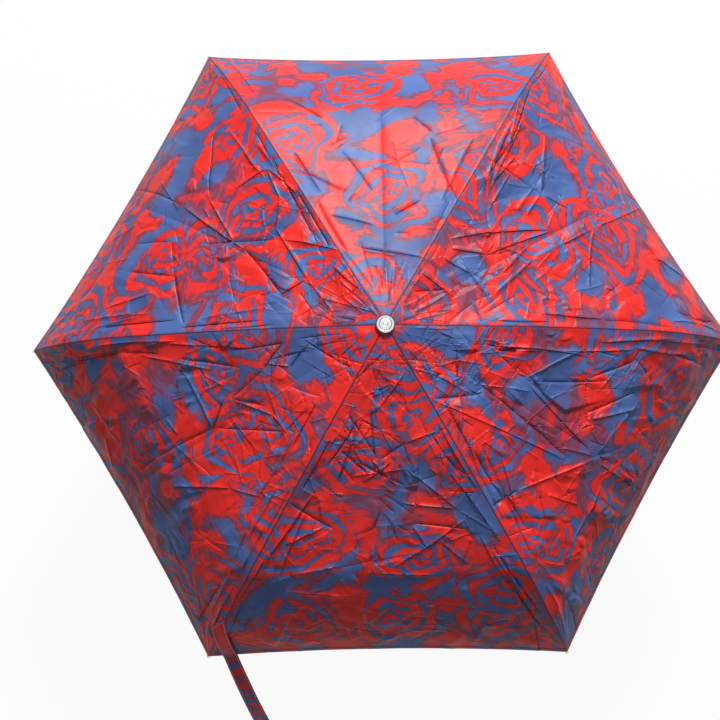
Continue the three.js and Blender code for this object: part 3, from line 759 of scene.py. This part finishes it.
def whorls(finish, place):
    """How blue the whorls are at a place, about 0 in the middle between the inks, and where they lie"""
    cells = {"voronoi_dimensions": "2D"}
    centre, chance = (
        finish.node("TexVoronoi", cells, output, Vector=place, Scale=1 / WHORL_SPACING)
        for output in ("Position", "Color")
    )
    local = finish.node("VectorMath", {"operation": "SUBTRACT"}, i0=place, i1=centre)
    x, y, _ = finish.parts(local)
    first, second, third = finish.parts(chance)
    radius = (x * x + y * y).math("SQRT")
    angle = y.math("ARCTAN2", x)
    petals = (angle * 3 + first * 9).math("SINE") * 0.1 + (angle * 5 + second * 9).math("SINE") * 0.07
    flower = radius * (1 + petals)
    ring = (flower / RING_SPACING).math("POWER", RING_GROWTH_SHARE) * 1.3
    ring = ring + angle / (2 * math.pi) + second * 5
    wave = (ring * (2 * math.pi)).math("COSINE")
    turn_x, turn_y = angle.math("COSINE"), angle.math("SINE")
    strokes, hairs = (
        finish.node("CombineXYZ", X=turn_x * 1.5, Y=turn_y * 1.5, Z=flower * count + first * 40)
        for count in (STROKES_A_METRE, HAIRS_A_METRE)
    )
    brush = (finish.noise(strokes, 1.0, 1.0) - 0.5) * 2.8 + (finish.noise(hairs, 1.2, 2.0, 0.6) - 0.5) * 1.3
    size = second * 0.018 + 0.039
    inside = 1 - flower.between(size, size + 0.02)
    return wave * 0.42 + brush + (third - 0.5) * 0.4, inside * first.between(0.04, 0.14)


def printed_cloth():
    finish = Finish("printed_cloth", Sheen_Weight=0.03, Sheen_Roughness=0.35, Specular_IOR_Level=0.22)
    place = finish.uv("print")
    drift = finish.noise(place, 13.0, 2.0, output="Color")
    bend = {"operation": "MULTIPLY_ADD"}
    bent = finish.node("VectorMath", bend, i0=drift, i1=(PRINT_DRIFT,) * 3, i2=place)
    drawn, inside = whorls(finish, bent)
    drops = (finish.noise(bent, 25.0, 0.8) - 0.49) * 5
    streak_place = finish.node("Mapping", Vector=bent, Scale=(55, 260, 1), Rotation=(0, 0, 0.6))
    streaks = finish.noise(streak_place, 1.0, 2.0, 0.6) - 0.5
    rubbed = finish.noise(place, 14.0, 2.0).between(0.54, 0.66)
    ink = drops * (1 - inside) + drawn * inside + streaks * (rubbed * 2.6 + 1.1) - RED_EXCESS
    softness = finish.noise(place, 9.0, 1.0).between(0.4, 0.65) * 0.45 + 0.2
    blueness = ink.between(softness * -1, softness)
    shade = finish.noise(place, 12.0, 1.0).between(0.35, 0.65)
    blue = finish.mix(shade, BLUE, DARK_BLUE)
    red = finish.mix(streaks.between(0.05, 0.35), RED, DEEP_RED)
    both = blueness * (1 - blueness) * 4 * OVERPRINT_SHARE
    colour = finish.mix(both, finish.mix(blueness, red, blue), OVERPRINT)
    seam, rim, _ = finish.parts(finish.uv("edge"))
    # Painted shade: the print darkens along each seam, in its valley, and faintly along the edge of the
    # turned hem
    painted_seam_shade = (1 - seam.between(*SEAM_LINE)) * 0.9
    hem_line = (1 - (rim - HEM_WIDTH).math("ABSOLUTE").between(*HEM_LINE)) * 0.35
    colour = finish.mix(painted_seam_shade.math("MAXIMUM", hem_line), colour, PAINTED_SHADE_COLOUR)
    weave = finish.noise(place, 2400.0, 1.0)
    roughness = finish.noise(place, 60.0, 1.0) * 0.1 + 0.4
    height = crease_height(finish, "crease_1") + crease_height(finish, "crease_2")
    return finish.done(colour, roughness, height + weave * 0.03 * MM)


CRISP_WIDTH = 0.8 * MM
CRISP_SHARE = 1.4  # the height of a crease's crisp edge, of the crease's own height


def crease_height(finish, uv_map):
    """Height of the crisp edge of the nearest crease, in metres"""
    off, height, _ = finish.parts(finish.uv(uv_map))
    below = off.math("LESS_THAN", 0.0)
    fall = off.math("ABSOLUTE") * (-1 / CRISP_WIDTH) * (1 - below * 0.5)
    return fall.math("EXPONENT") * height * CRISP_SHARE


cloth = printed_cloth()
canopy = [piece for index in range(RIBS) for piece in cut_panel(index, cloth)]
print("canopy:", len(canopy), "pieces,", sum(len(p.data.polygons) for p in canopy), "faces")

# %% [markdown]
# ## Closing strap
#
# A strap of the same cloth, folded double and stitched along its edges, is sewn into the seam over rib
# 5 and hangs over the rim. It wraps the folded umbrella and snaps shut. Its two long edges are given as
# points in space; a smooth curve through them makes the strap's surface.

# %% Closing strap
STRAP_RAILS = (  # left x, y, z and right x, y, z in millimetres, from the seam to the free end
    (-217.4, -356.0, 395.6, -200.4, -346.8, 405.0), (-216.5, -362.9, 387.4, -199.4, -355.0, 395.6),
    (-215.2, -369.6, 379.0, -198.3, -362.8, 386.4), (-213.4, -375.8, 370.0, -196.6, -370.2, 376.6),
    (-211.5, -381.9, 361.1, -194.6, -377.2, 366.8), (-209.0, -387.3, 351.7, -191.9, -383.7, 356.4),
    (-206.4, -392.9, 342.3, -189.1, -389.7, 346.2), (-202.6, -402.9, 336.3, -185.5, -399.1, 340.6),
    (-199.1, -412.4, 330.4, -181.9, -408.4, 333.9), (-195.6, -421.7, 324.0, -178.4, -417.3, 326.8),
    (-192.3, -430.7, 317.2, -175.0, -426.0, 319.3), (-189.0, -439.4, 309.8, -171.8, -434.3, 311.4),
    (-185.9, -447.7, 302.0, -168.8, -442.3, 303.1), (-182.9, -455.6, 293.7, -165.9, -449.9, 294.3),
    (-180.0, -463.2, 285.1, -163.1, -457.0, 285.2), (-177.3, -470.3, 275.9, -160.5, -463.9, 275.9),
    (-174.9, -476.8, 266.3, -158.0, -470.4, 266.3), (-172.5, -482.9, 256.4, -155.7, -476.5, 256.4),
    (-170.4, -488.6, 246.2, -153.6, -482.2, 246.2), (-168.4, -493.8, 235.7, -151.6, -487.4, 235.7),
    (-166.6, -498.5, 224.9, -149.8, -492.1, 224.9), (-165.0, -502.7, 213.9, -148.2, -496.3, 213.9),
    (-163.6, -506.4, 202.7, -146.8, -500.0, 202.7),
)
STRAP_ROWS = 220
STRAP_COLUMNS = 28
STRAP_THICKNESS = 1.2 * MM
STRAP_STITCH_INSET = 1.7 * MM
STRAP_STITCH_SPACING = 2.6 * MM
STRAP_TUCK_START = 150 * MM
STRAP_TUCK_DEPTH = 0.45 * MM
STRAP_PRINT_SHIFT = (0.47, 0.12)


def strap_surface():
    """Upper face of the strap, its normals, and for each point the way along and across"""
    places = np.linspace(0, len(STRAP_RAILS) - 1, STRAP_ROWS + 1)
    rails = smooth_curve(np.array(STRAP_RAILS) * MM, places)
    left, right = rails[:, None, :3], rails[:, None, 3:]
    share = np.linspace(0, 1, STRAP_COLUMNS + 1)
    points = left + (right - left) * share[None, :, None]
    normals = grid_normals(points)
    if (normals * points).sum() < 0:
        normals = -normals
    width = np.linalg.norm(right - left, axis=2)
    across = (share[None, :] - 0.5) * width
    middle = (left + right)[:, 0] / 2
    along = np.repeat(way_along(middle)[:, None], STRAP_COLUMNS + 1, axis=1)
    inset = width / 2 - np.abs(across)
    relief = -0.35 * MM * (1 - smooth(inset, 0, 1.0 * MM))
    relief -= 0.14 * MM * np.exp(-(((inset - STRAP_STITCH_INSET) / (0.5 * MM)) ** 2))
    ripple = np.sin(2 * math.pi * along / STRAP_STITCH_SPACING)
    relief += 0.06 * MM * ripple * np.exp(-(inset / (3 * MM)) ** 2)
    tuck = across - 1.2 * MM + 0.01 * (along - STRAP_TUCK_START)
    deep = smooth(along, STRAP_TUCK_START, STRAP_TUCK_START + 0.03)
    relief -= STRAP_TUCK_DEPTH * np.exp(-np.abs(tuck) / (1.1 * MM)) * deep
    surface = points + (STRAP_THICKNESS / 2 + relief)[:, :, None] * normals
    return surface, normals, along, across


def add_strap(material):
    surface, normals, along, across = strap_surface()
    if np.dot(np.cross(surface[1, 0] - surface[0, 0], surface[0, 1] - surface[0, 0]), normals[0, 0]) < 0:
        surface, normals, along, across = (grid[:, ::-1] for grid in (surface, normals, along, across))
    far = np.ones_like(along)
    maps = {"print": (across + STRAP_PRINT_SHIFT[0], along + STRAP_PRINT_SHIFT[1]), "edge": (far, far)}
    strap = shell("strap_cloth", surface, normals, maps, STRAP_THICKNESS)
    strap.data.materials.append(material)
    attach(strap, "outer_5")
    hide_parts("closure_strap")
    return surface, normals, along, across


strap_grid = add_strap(cloth)
print("strap:", round(float(strap_grid[2].max()), 4), "long")

# %% [markdown]
# ## Thread
#
# The rim is turned over and held by a row of lockstitches, and so are the strap's edges. A stitch is a
# short bead of thread. Geometry Nodes walks each line, drops a bead every few millimetres and turns it
# along the line. The result is baked to a plain mesh, so that it can ride on its rib.

# %% Stitches by Geometry Nodes
STITCH_INPUTS = {
    "Geometry": "Geometry", "Spacing": "Float", "Stitch length": "Float", "Thread width": "Float",
    "Seed": "Int", "Thread": "Material",
}


def stitch_tree():
    tree = bpy.data.node_groups.new("row_of_stitches", "GeometryNodeTree")
    for name, kind in STITCH_INPUTS.items():
        tree.interface.new_socket(name, in_out="INPUT", socket_type="NodeSocket" + kind)
    tree.interface.new_socket("Geometry", in_out="OUTPUT", socket_type="NodeSocketGeometry")

    def add(kind, links=(), **settings):
        node = tree.nodes.new(kind)
        for name, value in settings.items():
            setattr(node, name, value)
        for source, slot in links:
            tree.links.new(source, node.inputs[slot])
        return node

    given = add("NodeGroupInput").outputs
    line = add("GeometryNodeMeshToCurve", [(given["Geometry"], 0)]).outputs[0]
    steps = [(line, "Curve"), (given["Spacing"], "Length")]
    places = add("GeometryNodeCurveToPoints", steps, mode="LENGTH").outputs
    turn = add("FunctionNodeAlignRotationToVector", [(places["Tangent"], "Vector")], axis="X").outputs[0]
    bead = add("GeometryNodeMeshIcoSphere")
    bead.inputs["Radius"].default_value = 0.5
    jitter = add("FunctionNodeRandomValue", [(given["Seed"], "Seed")], data_type="FLOAT")
    jitter.inputs[2].default_value = 0.9
    jitter.inputs[3].default_value = 1.1
    factors = [(given["Stitch length"], 0), (jitter.outputs[1], 1)]
    length = add("ShaderNodeMath", factors, operation="MULTIPLY").outputs[0]
    width = given["Thread width"]
    size = add("ShaderNodeCombineXYZ", [(length, 0), (width, 1), (width, 2)]).outputs[0]
    copies = add("GeometryNodeInstanceOnPoints", [
        (places["Points"], "Points"),
        (bead.outputs[0], "Instance"),
        (turn, "Rotation"),
        (size, "Scale"),
    ])
    for kind in ("GeometryNodeRealizeInstances", "GeometryNodeSetShadeSmooth"):
        copies = add(kind, [(copies.outputs[0], 0)])
    done = add("GeometryNodeSetMaterial", [(copies.outputs[0], "Geometry"), (given["Thread"], "Material")])
    add("NodeGroupOutput", [(done.outputs[0], 0)])
    return tree


def sew(name, lines, tree, *values):
    """Bake a row of stitches along each line into one plain mesh; the values follow STITCH_INPUTS"""
    mesh = bpy.data.meshes.new(name)
    corners, edges = [], []
    for line in lines:
        edges += [(len(corners) + i, len(corners) + i + 1) for i in range(len(line) - 1)]
        corners += [tuple(point) for point in line]
    mesh.from_pydata(corners, edges, [])
    path = add_object(name + "_path", mesh)
    modifier = path.modifiers.new("stitches", "NODES")
    modifier.node_group = tree
    given = dict(zip(list(STITCH_INPUTS)[1:], values))
    for item in tree.interface.items_tree:
        if item.name in given:
            modifier[item.identifier] = given[item.name]
    graph = bpy.context.evaluated_depsgraph_get()
    row = add_object(name, bpy.data.meshes.new_from_object(path.evaluated_get(graph)))
    bpy.data.objects.remove(path)
    return row


# %% [markdown]
# The thread is spun polyester, twisted from plies. Slanted bands stand for the plies, and a little
# fuzz keeps the shine broken. The grooves between the plies are darkened with painted shade.

# %% Thread finish
def thread_finish(name, light, dark):
    finish = Finish(name, Sheen_Weight=0.3, Sheen_Roughness=0.5)
    place = finish.object_place()
    bands = {"bands_direction": "DIAGONAL"}
    plies = finish.node("TexWave", bands, 1, Vector=place, Scale=1500.0, Distortion=1.0)
    fuzz = finish.noise(place, 5000.0, 2.0)
    # painted shade: the colour is darkest where the plies' bump is lowest, in the grooves between them
    colour = finish.mix(plies * 0.7 + fuzz * 0.3, dark, light)
    return finish.done(colour, fuzz * 0.2 + 0.55, plies * 0.06 * MM + fuzz * 0.03 * MM)


HEM_THREAD = thread_finish("hem_thread", srgb(150, 52, 70), srgb(96, 34, 52))
STRAP_THREAD = thread_finish("strap_thread", srgb(232, 228, 238), srgb(168, 160, 184))


# %% [markdown]
# The rim's stitches lie 1.2 mm inside the edge of the turned hem. Each row belongs to one half panel
# and folds with it.

# %% Sewing
HEM_STITCH_INSET = HEM_WIDTH - 1.2 * MM
STITCH_SPACING = 2.9 * MM
STITCH_LENGTH = 2.3 * MM
STRAP_STITCH_LENGTH = 2.1 * MM
HEM_THREAD_WIDTH = 0.42 * MM
STRAP_THREAD_WIDTH = 0.8 * MM
STITCH_LIFT = 0.06 * MM
HEM_SEED = 31
STRAP_SEED = 77


def hem_line(index, columns):
    """The line of the rim's stitches, a little over the cloth"""
    points, normals, _ = PANELS[index]
    at = CUT_LENGTH - HEM_STITCH_INSET
    low = int(np.searchsorted(ALONG, at)) - 1
    share = (at - ALONG[low]) / (ALONG[low + 1] - ALONG[low])
    line = points[low] * (1 - share) + points[low + 1] * share
    return (line + normals[low] * 0.08 * MM)[columns][2:-2]


def sew_hems(tree):
    rows = []
    for index in range(RIBS):
        for half, side, columns, step in HALVES:
            name = f"hem_stitches_{index + 1}_{half}"
            line = hem_line(index, columns)
            sizes = (STITCH_SPACING, STITCH_LENGTH, HEM_THREAD_WIDTH)
            row = sew(name, [line], tree, *sizes, HEM_SEED + len(rows), HEM_THREAD)
            fold_with_rib(row, (index + step) % RIBS, side, 2)
            rows.append(row)
    return rows


def sew_strap(tree, grid):
    surface, normals, _, across = grid
    inset = STRAP_STITCH_INSET / np.abs(np.ptp(across, axis=1)).mean()
    share = np.linspace(0, 1, STRAP_COLUMNS + 1)

    def across_at(rows, wanted):
        place = wanted * STRAP_COLUMNS
        low = int(place)
        return rows[:, low] * (1 - place + low) + rows[:, min(low + 1, STRAP_COLUMNS)] * (place - low)

    lines = []
    for lift in (STITCH_LIFT, -STRAP_THICKNESS - STITCH_LIFT):
        face = surface + normals * lift
        near, far = across_at(face, inset), across_at(face, 1 - inset)
        end = face[-3][(share > inset) & (share < 1 - inset)]
        lines.append(np.vstack([near[2:-2], end, far[-3:1:-1]]))
    sizes = (STRAP_STITCH_SPACING, STRAP_STITCH_LENGTH, STRAP_THREAD_WIDTH)
    row = sew("strap_stitches", lines, tree, *sizes, STRAP_SEED, STRAP_THREAD)
    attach(row, "outer_5")
    return row


stitches = stitch_tree()
hems = sew_hems(stitches)
strap_row = sew_strap(stitches, strap_grid)
print("stitch faces:", sum(len(row.data.polygons) for row in (*hems, strap_row)))

# %% [markdown]
# ## Metal and plastic
#
# The frame's own parts keep their shape and get their finish here. Rib steel is folded from plated
# strip, so it is dull with fine pits. Tubes are drawn, so their marks run along the shaft. The cap is
# turned and polished, so its marks are rings; its groove and dimple are darkened with painted shade.

# %% Metal and plastic finishes
CAP_RING_SPACING = 0.5 * MM
CAP_GROOVE_RADIUS = 7.4 * MM
CAP_DIMPLE_RADIUS = 2.6 * MM


def plated_steel(name, light, dark, grain_scale, roughness):
    finish = Finish(name, Metallic=1.0)
    grain = finish.noise(finish.object_place(grain_scale), 1.0, 3.0, 0.6)
    stains = finish.noise(finish.object_place(), 70.0, 3.0, 0.6).between(0.35, 0.7)
    roughness = grain * 0.25 + stains * 0.1 + roughness
    return finish.done(finish.mix(stains, light, dark), roughness, grain * 0.02 * MM)


def turned_chrome(name, light, dark):
    finish = Finish(name, Metallic=1.0)
    x, y, _ = finish.parts(finish.object_place())
    radius = (x * x + y * y).math("SQRT")
    rings = (radius * (2 * math.pi / CAP_RING_SPACING)).math("SINE")
    groove = 1 - (radius - CAP_GROOVE_RADIUS).math("ABSOLUTE").between(0.3 * MM, 0.8 * MM)
    dimple = 1 - (radius - CAP_DIMPLE_RADIUS).math("ABSOLUTE").between(0.25 * MM, 0.7 * MM)
    smudges = finish.noise(finish.object_place(), 160.0, 3.0, 0.6)
    # painted shade: the groove and the dimple, cut in by bump, are darkened as well
    colour = finish.mix(groove * 0.8 + dimple * 0.6, light, dark)
    relief = rings * 0.006 * MM - groove * 0.2 * MM - dimple * 0.12 * MM
    return finish.done(colour, smudges * 0.2 + 0.18, relief)


def moulded_plastic(name, light, dark, roughness, grain_depth):
    finish = Finish(name, Coat_Roughness=0.3)
    place = finish.object_place()
    grain = finish.noise(place, 3200.0, 2.0)
    scuffs = finish.noise(finish.object_place((1, 1, 0.3)), 120.0, 4.0, 0.7).between(0.5, 0.75)
    roughness = grain * 0.15 + scuffs * 0.12 + roughness
    return finish.done(finish.mix(scuffs, dark, light), roughness, grain * grain_depth)


RIB_STEEL = plated_steel("rib_steel", srgb(150, 152, 156), srgb(104, 106, 112), (900, 900, 900), 0.28)
DRAWN_STEEL = plated_steel("drawn_steel", srgb(208, 209, 212), srgb(190, 192, 197), (2600, 2600, 40), 0.14)
NICKEL = plated_steel("nickel", srgb(222, 220, 214), srgb(186, 184, 178), (1500, 1500, 1500), 0.2)
CHROME = turned_chrome("turned_chrome", srgb(214, 215, 219), srgb(96, 98, 104))
BLACK_PLASTIC = moulded_plastic("black_plastic", srgb(46, 46, 50), srgb(20, 20, 23), 0.32, 0.03 * MM)
GRIP_PLASTIC = moulded_plastic("soft_grip", srgb(44, 44, 48), srgb(24, 24, 27), 0.5, 0.08 * MM)
FINISHED_KINDS = (
    (CHROME, "silver_cap"),
    (GRIP_PLASTIC, "handle_grip"),
    (DRAWN_STEEL, "lower_tube middle_tube top_tube"),
    (NICKEL, "handle_collar runner_button snap_socket snap_stud rib_tip"),
    (RIB_STEEL, "crown_pivot_wire inner_rib middle_rib outer_rib stretcher"),
    (BLACK_PLASTIC, "cap_ring crown_notch runner runner_stop_collar handle_end_cap"),
)
FINISH_OF = {kind: finish for finish, kinds in FINISHED_KINDS for kind in kinds.split()}


def dress_frame():
    kinds = {name: name.rstrip("_0123456789") for name in nodes}
    dressed = [name for name in nodes if kinds[name] in FINISH_OF]
    for name in dressed:
        nodes[name].data.materials.clear()
        nodes[name].data.materials.append(FINISH_OF[kinds[name]])
    return len(dressed)


print("dressed frame parts:", dress_frame(), "of", len(nodes))

# %% [markdown]
# ## Light and floor
#
# A large soft lamp over the far side gives the far panels their pale sheen and leaves the near rim
# darker, as in the photograph. The floor is pale and keeps a faint shadow.

# %% Light and floor
WORLD_STRENGTH = 0.12
FLOOR_REACH = 6.0
FLOOR_GLOW_SHARE = 0.94  # of the floor's look that doesn't take shadows, so they stay faint
LAMPS = (
    ("key", (0.35, 1.95, 2.15), 0.7, 118),
    ("fill", (-0.6, -1.2, 2.6), 2.0, 7),
)


def seen(tree):
    """1 for a ray that shows something, straight, mirrored or through, and 0 for one that only lights"""
    rays = tree.nodes.new("ShaderNodeLightPath").outputs
    kinds = ("Camera", "Glossy", "Transmission")
    straight, *others = (Value(tree, rays[f"Is {kind} Ray"]) for kind in kinds)
    return sum(others, straight).math("MINIMUM", 1.0)


def add_lamps():
    aim = Vector((0, 0, CAP_HEIGHT - 0.1))
    for name, place, size, power in LAMPS:
        data = bpy.data.lights.new(name, "AREA")
        data.size = size
        data.energy = power
        lamp = add_object(name, data)
        lamp.location = place
        lamp.rotation_euler = (aim - Vector(place)).to_track_quat("-Z", "Y").to_euler()
    world = bpy.data.worlds.new("studio")
    world.use_nodes = True
    tree = world.node_tree
    tree.nodes.remove(tree.nodes["Background"])
    soft, white = (
        add_node(tree, "Background", Color=(1.0, 1.0, 1.0, 1.0), Strength=strength)
        for strength in (WORLD_STRENGTH, 1.0)
    )
    both = add_node(tree, "MixShader", i0=seen(tree), i1=soft, i2=white)
    tree.links.new(both.socket, tree.nodes["World Output"].inputs["Surface"])
    bpy.context.scene.world = world


def add_floor():
    mesh = bpy.data.meshes.new("floor")
    corners = [(x * FLOOR_REACH, y * FLOOR_REACH, 0) for x, y in ((-1, -1), (1, -1), (1, 1), (-1, 1))]
    mesh.from_pydata(corners, [], [(0, 1, 2, 3)])
    floor = add_object("floor", mesh)
    finish = Finish("pale_floor", Base_Color=(0.7, 0.7, 0.7, 1), Roughness=0.9)
    glow = finish.node("Emission", Color=(1, 1, 1, 1), Strength=1.0)
    share = seen(finish.tree) * FLOOR_GLOW_SHARE
    lit = Value(finish.tree, finish.shader.outputs[0])
    mixed = finish.node("MixShader", i0=share, i1=lit, i2=glow)
    finish.tree.links.new(mixed.socket, finish.tree.nodes["Material Output"].inputs["Surface"])
    mesh.materials.append(finish.material)


add_lamps()
add_floor()
bpy.context.scene.view_settings.view_transform = "Standard"
